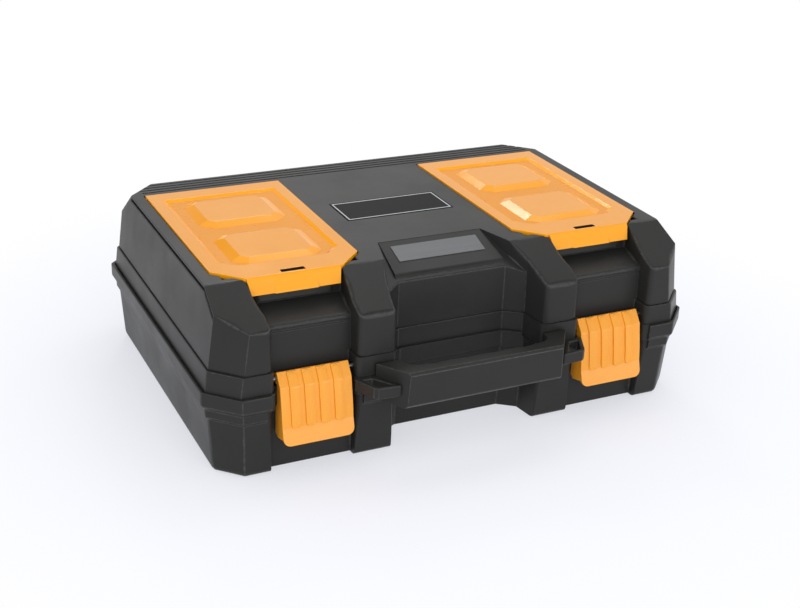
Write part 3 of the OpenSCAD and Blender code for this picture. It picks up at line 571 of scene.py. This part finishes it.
def fit_widths(grid, draft, width, width_of, joints):
    """Narrow the edges around each fault until none is left. Returns how many tries it took, and
    how many faults are left."""
    share = grid.edges.layers.float["bevel_weight_edge"]
    narrow = grid.faces.layers.int["narrow"]
    grid.verts.index_update()
    grid.verts.ensure_lookup_table()
    grid.faces.ensure_lookup_table()
    surface = BVHTree.FromBMesh(grid)
    corners = KDTree(len(grid.verts))
    for point in grid.verts:
        corners.insert(point.co, point.index)
    corners.balance()
    for attempt in range(1, TRIES + 1):
        even_out(width_of, joints)
        for edge, fitted in width_of.items():
            edge[share] = fitted / width if fitted > LEAST_WIDTH else 0.0
        grid.to_mesh(draft.data)
        tried = evaluated_mesh(draft)
        points, faces = faults(tried, surface, corners, MAY_MOVE * width)
        bpy.data.meshes.remove(tried)
        if not points and not faces:
            break
        near = [edge for i in points for edge in grid.verts[i].link_edges]
        if attempt >= FACES_FROM_TRY:
            near += [edge for i in faces for edge in grid.faces[i].edges]
        if attempt >= FACETS_FROM_TRY:
            near += [edge for i in points for face in grid.verts[i].link_faces
                     if face[narrow] for edge in face.edges]
        for edge in set(width_of).intersection(near):
            fitted = width_of[edge]
            width_of[edge] = fitted * 0.5 if fitted > 2 * LEAST_WIDTH else 0.0
    return attempt, len(points) + len(faces)


print("at most", TRIES, "tries, and no bevel narrower than", round(LEAST_WIDTH / MM, 2), "mm")

# %% [markdown]
# `moulded` puts these steps together and hands back a plain mesh that stands in for the CAD node.
# Each point also gets a "painted_edge_highlight" value, 1 on the rounded strips and 0 on the faces,
# which the materials use to paint the edges paler as a painted highlight. A shell can have rounder
# edges in some places. A test then picks those edges.

# %% A moulded copy of a CAD node
def finish_mesh(mesh, material):
    """Store the corner normals and the mask of the painted edge highlight, and take off the marks
    that led to them.
    """
    strip = column(mesh.polygons, "material_index", 1, np.int32) == 1
    mesh.normals_split_custom_set(corner_normals(mesh, strip))
    # Painted highlight mask: 1 on the points of the bevel strips, 0 on the points of the faces.
    edge_highlight_mask = np.ones(len(mesh.vertices))
    for face in mesh.polygons:
        if face.material_index == 0:
            edge_highlight_mask[list(face.vertices)] = 0.0
        face.material_index = 0
    mesh.attributes.new("painted_edge_highlight", "FLOAT", "POINT").data.foreach_set("value", edge_highlight_mask)
    for mark in ("source_facing", "source_face", "narrow"):
        mesh.attributes.remove(mesh.attributes[mark])
    mesh.materials.clear()
    mesh.materials.append(material)


def moulded(node, width_mm, material, wide=None, rest=1.0):
    """wide is a test for edges that get the full width; the others get the share rest of it."""
    width = width_mm * MM
    grid = clean_grid(node)
    share = grid.edges.layers.float.new("bevel_weight_edge")
    sharp = cut_edges(grid, sharp_edges(grid), wide)
    known = set(sharp)
    room = {}
    for face in grid.faces:
        face_rooms(face, known, room)
    joints = joints_of(sharp)
    width_of = {edge: min(room[edge], width if wide is None or wide(edge) else rest * width)
                for edge in sharp}
    # where two edges meet in a straight line, Blender gives both the wider of their bevels there
    for first, second, step in joints:
        if step:
            width_of[first] = min(width_of[first], room[second])
            width_of[second] = min(width_of[second], room[first])
    draft = draft_of(node, width, material)
    tries, faults_left = fit_widths(grid, draft, width, width_of, joints)
    for face in grid.faces:
        face.smooth = True
    grid.to_mesh(draft.data)
    final = evaluated_mesh(draft)
    bpy.data.objects.remove(draft)
    left_sharp = sum(edge[share] == 0 for edge in sharp)
    grid.free()
    finish_mesh(final, material)
    final.name = node + "_moulded"
    piece = bpy.data.objects.new(node + "_moulded", final)
    bpy.context.scene.collection.objects.link(piece)
    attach(piece, body_of_node[node])
    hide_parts(node)
    print(piece.name, len(final.polygons), "faces,", len(sharp), "sharp edges,", left_sharp,
          "left sharp, tries:", tries, "faults left:", faults_left)
    return piece


# %% [markdown]
# ## The shells and the handle
#
# The base and the lid are single mouldings with walls of 2.6 mm. Most of their edges are rounded
# by a good millimetre. Some are visibly rounder: up to 2.4 mm on the upright edges of the base's
# columns, and up to 3.6 mm on the columns and the console of the lid. Two tests pick those edges
# by where they lie. The handle is a separate moulding, screwed on from inside.

# %% Which edges of the shells are rounder
CONSOLE_HALF = 52 * MM                              # half the console's width
CONSOLE_BACK, CONSOLE_FOOT = -66 * MM, 96 * MM      # its rounder part lies in front and above
COLUMN_BACK, COLUMN_FOOT = -86 * MM, 80 * MM        # and so does that of the lid's columns
BASE_COLUMN_BACK = -100 * MM
UPRIGHT = 0.8                                       # an upright edge rises by this share


def round_on_lid(edge):
    """The columns beside the bays, above the lid's step, and the console have round edges."""
    for point in edge.verts:
        back, foot = CONSOLE_BACK, CONSOLE_FOOT
        if abs(point.co.x) > CONSOLE_HALF:
            back, foot = COLUMN_BACK, COLUMN_FOOT
        if point.co.y >= back or point.co.z <= foot:
            return False
    return True


def upright_at_front(edge):
    """The upright edges of the base's columns are rounder than its rims."""
    low, high = sorted(point.co.z for point in edge.verts)
    rises = high - low > UPRIGHT * edge.calc_length()
    return rises and all(point.co.y < BASE_COLUMN_BACK for point in edge.verts)


print("two tests for rounder edges:", round_on_lid.__name__, "and", upright_at_front.__name__)

# %% Shells and handle
moulded("base_shell", 2.4, black_shell, wide=upright_at_front, rest=0.45)
moulded("lid_shell", 3.6, black_shell, wide=round_on_lid, rest=0.35)
moulded("carry_handle", 1.8, black_shell)

# %% [markdown]
# ## Latches
#
# The latches are thin mouldings from a fine tool, so their edges are rounded by 0.35 mm only.

# %% Latches
for name in ("latch_left", "latch_right"):
    moulded(name, 0.35, orange_latch)

# %% [markdown]
# ## Grip ribs
#
# Each latch has a row of ribs with crowned backs, so a finger feels them. A rib repeats, and it
# follows the bend of the latch, so Geometry Nodes make it: a grid is laid along a path, rounded
# off at both ends, crowned in the middle, and then repeated in a row. The edge of the grid dips
# a little under the latch's skin, so no gap shows.

# %% The node tree of a row of ribs
POINTS_ACROSS, POINTS_ALONG = 11, 64
LEAST_END = 0.2         # share of its width that a rib keeps at its very ends
DIP = 0.06 * MM         # how far a rib's edge lies under the skin


def rib_tree():
    """A node group with the sizes of a row of ribs as its inputs."""
    tree = bpy.data.node_groups.new("row of crowned ribs", "GeometryNodeTree")
    for name, kind in (("Path", "Geometry"), ("Count", "Int"), ("Pitch", "Float"),
                       ("Width", "Float"), ("Height", "Float"), ("Material", "Material")):
        tree.interface.new_socket(name, in_out="INPUT", socket_type="NodeSocket" + kind)
    tree.interface.new_socket("Ribs", in_out="OUTPUT", socket_type="NodeSocketGeometry")
    given = add(tree, "NodeGroupInput").outputs

    def maths(operation, first, second=0.0, clamp=False):
        return add(tree, "ShaderNodeMath", {0: first, 1: second}, operation=operation,
                   use_clamp=clamp).outputs[0]

    def vector(x=0.0, y=0.0, z=0.0):
        return add(tree, "ShaderNodeCombineXYZ", {"X": x, "Y": y, "Z": z}).outputs[0]

    path = add(tree, "GeometryNodeMeshToCurve", {"Mesh": given["Path"]}).outputs["Curve"]
    grid = add(tree, "GeometryNodeMeshGrid", {"Vertices X": POINTS_ACROSS,
                                              "Vertices Y": POINTS_ALONG})
    place = add(tree, "ShaderNodeSeparateXYZ", {"Vector": grid.outputs["UV Map"]}).outputs
    # share of the full width: round at both ends, 1 in between
    total = add(tree, "GeometryNodeCurveLength", {"Curve": path}).outputs[0]
    nearer = maths("MINIMUM", place["Y"], maths("SUBTRACT", 1.0, place["Y"]))
    half = maths("MULTIPLY", given["Width"], 0.5)
    inside = maths("DIVIDE", maths("MULTIPLY", nearer, total), half, clamp=True)
    short = maths("SUBTRACT", 1.0, inside)
    full = maths("SQRT", maths("SUBTRACT", 1.0, maths("MULTIPLY", short, short)))
    full = maths("MAXIMUM", full, LEAST_END)
    # across the rib: -1 to 1, and the crown over it
    side = maths("SUBTRACT", maths("MULTIPLY", place["X"], 2.0), 1.0)
    crown = maths("SUBTRACT", 1.0, maths("MULTIPLY", side, side))
    crown = maths("MULTIPLY", maths("MULTIPLY", crown, full), given["Height"])
    lift = maths("SUBTRACT", crown, DIP)
    on_path = add(tree, "GeometryNodeSampleCurve", {"Curves": path, "Factor": place["Y"]},
                  mode="FACTOR").outputs
    outward = add(tree, "ShaderNodeVectorMath", {0: (1.0, 0.0, 0.0), 1: on_path["Tangent"]},
                  operation="CROSS_PRODUCT").outputs[0]
    raised = add(tree, "ShaderNodeVectorMath", {0: outward, "Scale": lift},
                 operation="SCALE").outputs[0]
    across = vector(x=maths("MULTIPLY", maths("MULTIPLY", side, half), full))
    moved = add(tree, "ShaderNodeVectorMath", {0: on_path["Position"], 1: across},
                operation="ADD").outputs[0]
    moved = add(tree, "ShaderNodeVectorMath", {0: moved, 1: raised}, operation="ADD").outputs[0]
    rib = add(tree, "GeometryNodeSetPosition", {"Geometry": grid.outputs["Mesh"],
                                                "Position": moved}).outputs[0]
    first = maths("MULTIPLY", maths("SUBTRACT", given["Count"], 1.0),
                  maths("MULTIPLY", given["Pitch"], -0.5))
    row = add(tree, "GeometryNodeMeshLine", {"Count": given["Count"],
                                             "Start Location": vector(x=first),
                                             "Offset": vector(x=given["Pitch"])}).outputs[0]
    ribs = add(tree, "GeometryNodeInstanceOnPoints", {"Points": row, "Instance": rib}).outputs[0]
    ribs = add(tree, "GeometryNodeRealizeInstances", {"Geometry": ribs}).outputs[0]
    ribs = add(tree, "GeometryNodeSetShadeSmooth", {"Geometry": ribs}).outputs[0]
    ribs = add(tree, "GeometryNodeSetMaterial", {"Geometry": ribs,
                                                 "Material": given["Material"]}).outputs[0]
    add(tree, "NodeGroupOutput", {"Ribs": ribs})
    return tree


crowned_ribs = rib_tree()
print(crowned_ribs.name, "has", len(crowned_ribs.nodes), "nodes")

# %% Run a node tree
def run_tree(tree, start, name, values):
    """The mesh that a node tree makes from a start mesh, as a plain piece at the origin."""
    maker = bpy.data.objects.new(name + "_maker", start)
    bpy.context.scene.collection.objects.link(maker)
    modifier = maker.modifiers.new(tree.name, "NODES")
    modifier.node_group = tree
    for socket in tree.interface.items_tree:
        if socket.in_out == "INPUT" and socket.name in values:
            modifier[socket.identifier] = values[socket.name]
    mesh = evaluated_mesh(maker)
    mesh.name = name
    bpy.data.objects.remove(maker)
    made = bpy.data.objects.new(name, mesh)
    bpy.context.scene.collection.objects.link(made)
    return made


print("inputs of the ribs:", [socket.name for socket in crowned_ribs.interface.items_tree
                              if socket.in_out == "INPUT"])

# %% [markdown]
# The path comes from the latch itself. Rays are sent at the middle of a rib, from the front, and
# each hit gives one point of the path. Only the front face counts, not the bend at the top.

# %% A row of ribs on each latch
RIB_COUNT = 4
PITCHES_ACROSS = 4.9            # the latch's width in pitches
PATH_START = 11.6               # millimetres above the latch's lowest point
PATH_STEP = 0.5                 # millimetres
PATH_POINTS = 80
IN_FRONT = -0.3                 # where the rays start, in metres
FACES_FRONT = -0.5              # the Y of a normal that still counts as the front


def skin_of(mesh):
    """A mesh as a surface that rays can be sent at."""
    return BVHTree.FromPolygons([v.co[:] for v in mesh.vertices],
                                [p.vertices[:] for p in mesh.polygons])


def box_of(mesh):
    """The lowest and the highest corner of a mesh."""
    return [[pick(v.co[axis] for v in mesh.vertices) for axis in range(3)] for pick in (min, max)]


for name in ("latch_left", "latch_right"):
    skin = skin_of(nodes[name].data)
    low, high = box_of(nodes[name].data)
    middle = (low[0] + high[0]) / 2
    pitch = (high[0] - low[0]) / PITCHES_ACROSS
    path = []
    for step in range(PATH_POINTS):
        height = low[2] + (PATH_START + PATH_STEP * step) * MM
        start = Vector((middle + pitch / 2, IN_FRONT, height))
        hit, facing = skin.ray_cast(start, (0, 1, 0))[:2]
        if hit is None or facing.y > FACES_FRONT:
            break
        path.append((middle, hit.y, hit.z))
    line = bpy.data.meshes.new(name + "_path")
    line.from_pydata(path, [(i, i + 1) for i in range(len(path) - 1)], [])
    ribs = run_tree(crowned_ribs, line, name + "_ribs",
                    {"Count": RIB_COUNT, "Pitch": pitch, "Width": 6.0 * MM, "Height": 0.45 * MM,
                     "Material": orange_latch})
    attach(ribs, body_of_node[name])
    print(ribs.name, len(ribs.data.polygons), "faces, path of", len(path), "points from",
          [round(c / MM, 1) for c in path[0]], "to", [round(c / MM, 1) for c in path[-1]])

# %% [markdown]
# ## Organizer covers
#
# The tilt of each face is stored for the cover's material, which paints the steep faces a brighter
# amber as painted light. Level faces that are sunk below the cover's border get the duller recess
# finish. Each cover also has a small slot above its tab. Little light gets into a slot that is 4 mm
# wide, so its walls, orange on the real cover, are painted with the black inner finish as painted
# shade. The slot is where rays from above pass through the cover without a hit.

# %% Find the slot of a cover
RAY_STEP = 0.2                  # millimetres
RAY_COUNT = 120
ABOVE = 0.3                     # where the rays start, in metres


def slot_range(node):
    """The middle in X, and the lowest and highest Y of the slot on that line."""
    skin = skin_of(nodes[node].data)
    low, high = box_of(nodes[node].data)
    middle, front = (low[0] + high[0]) / 2, low[1]
    through = []
    for i in range(RAY_COUNT):
        y = front + (1 + RAY_STEP * i) * MM
        if skin.ray_cast(Vector((middle, y, ABOVE)), (0, 0, -1))[0] is None:
            through.append(y)
    return middle, min(through), max(through)


for name in ("organizer_cover_left", "organizer_cover_right"):
    print(name, "slot:", [round(c / MM, 1) for c in slot_range(name)])

# %% Covers
LEVEL = 0.985                   # cosine of 10 degrees: a face that tilts less lies level
GLOWING = math.cos(math.radians(30))
WALL = 0.5                      # cosine of 60 degrees: a face that tilts more is a wall
SLOT_HALF = 8.9 * MM
TAB_GAP = 2 * MM                # from the tab to the slot
TAB_GLOW = 0.35                 # the tab is thin and glows less than the slopes
BORDER_DROP = 1.1 * MM          # from the top of the cover to its border
MARGIN = 0.5 * MM
for name in ("organizer_cover_left", "organizer_cover_right"):
    cover = moulded(name, 0.4, orange_cover)
    level = column(cover.data.polygons, "normal", 3)[:, 2]
    centre = column(cover.data.polygons, "center", 3)
    # Painted light: 0 on level faces, 1 on faces that tilt by 30 degrees or more; the tab keeps only
    # a share of it.
    slope = np.clip((LEVEL - level) / (LEVEL - GLOWING), 0, 1)
    middle, low, high = slot_range(name)
    slope[centre[:, 1] < low - TAB_GAP] *= TAB_GLOW
    border_top = box_of(nodes[name].data)[1][2] - BORDER_DROP
    sunk = (level > LEVEL) & (centre[:, 2] < border_top - MARGIN)
    # Painted shade: the walls of the slot get the black material.
    walls = ((level < WALL) & (abs(centre[:, 0] - middle) < SLOT_HALF)
             & (centre[:, 1] > low - MARGIN) & (centre[:, 1] < high + MARGIN))
    cover.data.attributes.new("slope", "FLOAT", "FACE").data.foreach_set("value", slope)
    cover.data.materials.append(black_plastic_and_slot_shade)
    cover.data.materials.append(orange_recess)
    cover.data.polygons.foreach_set("material_index", (walls + 2 * sunk).astype(np.int32))
    print(name, "has", int((slope > 0.5).sum()), "steep faces,", int(walls.sum()),
          "slot walls and", int(sunk.sum()), "recess faces")

# %% [markdown]
# ## Trays, dividers, label and plate
#
# The trays and dividers are plain mouldings with small edges. The label and the plate are thin
# and flat, so theirs are smaller still. The frame line is the highest part of the plate, and gets
# the silver print.

# %% Trays, dividers, label and plate
LINE_HEIGHT = 0.12 * MM
for name in ("organizer_tray_left", "organizer_tray_right"):
    moulded(name, 0.4, black_plastic_and_slot_shade)
for name in ("tray_dividers_left", "tray_dividers_right"):
    moulded(name, 0.3, divider_grey)
moulded("console_label", 0.15, grey_film)
plate = moulded("name_plate", 0.1, black_badge)
plate.data.materials.append(silver_line)
plate_top = box_of(plate.data)[1][2]
for face in plate.data.polygons:
    if face.center.z > plate_top - LINE_HEIGHT:
        face.material_index = 1

# %% [markdown]
# ## Steel parts
#
# Pins and screws are round already, and hardly show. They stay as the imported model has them, and
# only get the steel.

# %% Steel parts
for name in ("handle_screws", "hinge_pin_left", "hinge_pin_right", "latch_pin_left",
             "latch_pin_right"):
    nodes[name].data.materials.clear()
    nodes[name].data.materials.append(steel)
    print(name, "is", steel.name)

# %% [markdown]
# ## Floor, light and camera
#
# The stage is a pale floor that fades to white, so the case keeps its shadow and the background
# stays clean. Large, soft lamps suit black plastic: their reflections are broad and show its form.

# %% Floor
FLOOR_HALF = 6                  # metres
FADE_FROM, FADE_TO = 0.17, 0.46     # metres from the middle of the case
LEAST_WHITE = 0.55              # share of plain white beside the case


def seen_by(tree, *kinds):
    """An output that is 1 for rays of these kinds, and 0 for all others."""
    rays = add(tree, "ShaderNodeLightPath").outputs
    share = rays[kinds[0]]
    for kind in kinds[1:]:
        share = add(tree, "ShaderNodeMath", {0: share, 1: rays[kind]},
                    operation="MAXIMUM").outputs[0]
    return share


floor_mesh = bpy.data.meshes.new("studio_floor")
floor_mesh.from_pydata([(x * FLOOR_HALF, y * FLOOR_HALF, 0)
                        for x, y in ((-1, -1), (1, -1), (1, 1), (-1, 1))], [], [(0, 1, 2, 3)])
floor = bpy.data.objects.new("studio_floor", floor_mesh)
bpy.context.scene.collection.objects.link(floor)
floor_paint, tree = start_material("pale studio floor")
place = add(tree, "ShaderNodeTexCoord").outputs["Object"]
reach = add(tree, "ShaderNodeVectorMath", {0: place}, operation="LENGTH")
fade = add(tree, "ShaderNodeMapRange", {"Value": reach.outputs["Value"], "From Min": FADE_FROM,
                                        "From Max": FADE_TO, "To Min": LEAST_WHITE},
           interpolation_type="SMOOTHSTEP")
seen = seen_by(tree, "Is Camera Ray", "Is Glossy Ray")
white_share = add(tree, "ShaderNodeMath", {0: fade.outputs[0], 1: seen}, operation="MULTIPLY")
matt = add(tree, "ShaderNodeBsdfDiffuse", {"Color": linear("#f5f7ff")})
tint = add(tree, "ShaderNodeMix", {"Factor": fade.outputs[0], "A": linear("#eef1ff"),
                                   "B": linear("#ffffff")}, data_type="RGBA")
white = add(tree, "ShaderNodeEmission", {"Color": tint.outputs["Result"], "Strength": 1.0})
both = add(tree, "ShaderNodeMixShader", {"Fac": white_share.outputs[0], 1: matt.outputs[0],
                                         2: white.outputs[0]})
add(tree, "ShaderNodeOutputMaterial", {"Surface": both.outputs[0]})
floor_mesh.materials.append(floor_paint)
print("floor fades to white from", FADE_FROM, "to", FADE_TO, "m")

# %% World
world = bpy.data.worlds.new("studio")
bpy.context.scene.world = world
world.use_nodes = True
tree = world.node_tree
tree.nodes.clear()
seen = seen_by(tree, "Is Camera Ray", "Is Glossy Ray", "Is Transmission Ray")
strength = add(tree, "ShaderNodeMapRange", {"Value": seen, "To Min": 0.8, "To Max": 1.0})
sky = add(tree, "ShaderNodeBackground", {"Color": (1, 1, 1, 1), "Strength": strength.outputs[0]})
add(tree, "ShaderNodeOutputWorld", {"Surface": sky.outputs[0]})
print("world:", world.name)

# %% [markdown]
# Five lamps light the case. The front light fills the front evenly. Reflections don't see it, so
# it leaves no glare on the shiny covers. The edge light does the opposite: only reflections see
# it, and it draws thin lines of light along the rounded edges.

# %% Lamps
def softbox(name, place, aim, size, power):
    """A rectangular lamp at a place, turned towards a point."""
    lamp = bpy.data.lights.new(name, "AREA")
    lamp.shape = "RECTANGLE"
    lamp.size, lamp.size_y = size
    lamp.energy = power
    made = bpy.data.objects.new(name, lamp)
    made.location = place
    made.rotation_euler = (Vector(aim) - Vector(place)).to_track_quat("-Z", "Y").to_euler()
    bpy.context.scene.collection.objects.link(made)
    print(name, power, "W")
    return made


softbox("top_light", (0.44, 0.30, 1.10), (0, 0, 0.05), (0.5, 0.42), 1.4)
softbox("back_light", (0.25, 1.08, 1.01), (0, 0, 0.1), (0.36, 0.2), 2.2)
softbox("rim_light", (-0.85, 1.3, 0.7), (-0.1, 0, 0.08), (0.5, 0.12), 1.1)
front_light = softbox("front_light", (-0.3, -1.5, 0.6), (0, 0, 0.05), (1.7, 1.0), 12)
front_light.visible_glossy = False
edge_light = softbox("edge_light", (0.75, -1.6, 0.36), (0, -0.1, 0.08), (1.3, 0.3), 9)
edge_light.visible_diffuse = False

# %% [markdown]
# In a white room a shiny shape loses its facets. So studios hang black cards just outside the
# view, and some slopes mirror dark and show their own colour. These cards are seen by reflections
# only, and take no light from the scene.

# %% Black cards
card_paint, tree = start_material("black card")
place = add(tree, "ShaderNodeTexCoord").outputs["Object"]
weave = add(tree, "ShaderNodeTexNoise", {"Vector": place, "Scale": shares(8)})
shade = add(tree, "ShaderNodeMix", {"Factor": weave.outputs["Fac"], "A": linear("#0a0a0a"),
                                    "B": linear("#101010")}, data_type="RGBA")
matt = add(tree, "ShaderNodeBsdfDiffuse", {"Color": shade.outputs["Result"]})
add(tree, "ShaderNodeOutputMaterial", {"Surface": matt.outputs[0]})
for name, middle, size in (("card_behind", (-0.21, 1.05, 0.76), (0.34, 0.26)),
                           ("card_above", (0.42, -0.28, 1.0), (0.8, 0.44))):
    aim = (Vector((0, 0, 0.1)) - Vector(middle)).to_track_quat("Z", "Y").to_matrix()
    corners = [Vector(middle) + aim @ Vector((x * size[0] / 2, y * size[1] / 2, 0))
               for x, y in ((-1, -1), (1, -1), (1, 1), (-1, 1))]
    mesh = bpy.data.meshes.new(name)
    mesh.from_pydata([corner[:] for corner in corners], [], [(0, 1, 2, 3)])
    mesh.materials.append(card_paint)
    card = bpy.data.objects.new(name, mesh)
    bpy.context.scene.collection.objects.link(card)
    card.visible_camera = card.visible_diffuse = card.visible_shadow = False
    print(name, "at", middle)

# %% [markdown]
# ## Camera
#
# The camera stands about a metre away, to the left and above, as someone would look down at the
# case on a counter. A lens of 60 mm on a 36 mm sensor keeps the lines calm. The camera leans by
# two degrees, so its right and up directions are turned by that angle.

# %% Camera
turn, lift, roll = math.radians(-26.2), math.radians(24.41), math.radians(2.26)
middle = Vector((0, 0.0015, 0.0665))
aside, down, away = 8.07 * MM, 19.1 * MM, 1031.96 * MM
back = Vector((math.sin(turn) * math.cos(lift), -math.cos(turn) * math.cos(lift),
               math.sin(lift)))
right = Vector((math.cos(turn), math.sin(turn), 0))
up = back.cross(right)
right, up = (math.cos(roll) * right + math.sin(roll) * up,
             -math.sin(roll) * right + math.cos(roll) * up)
lens = bpy.data.cameras.new("camera")
lens.sensor_width = 36
lens.lens = 59.70
camera = bpy.data.objects.new("camera", lens)
camera.matrix_world = Matrix((right, up, back)).transposed().to_4x4()
camera.location = middle + aside * right - down * up + away * back
bpy.context.scene.collection.objects.link(camera)
bpy.context.scene.camera = camera
bpy.context.scene.view_settings.view_transform = "Standard"
print("camera at", [round(c, 3) for c in camera.location])
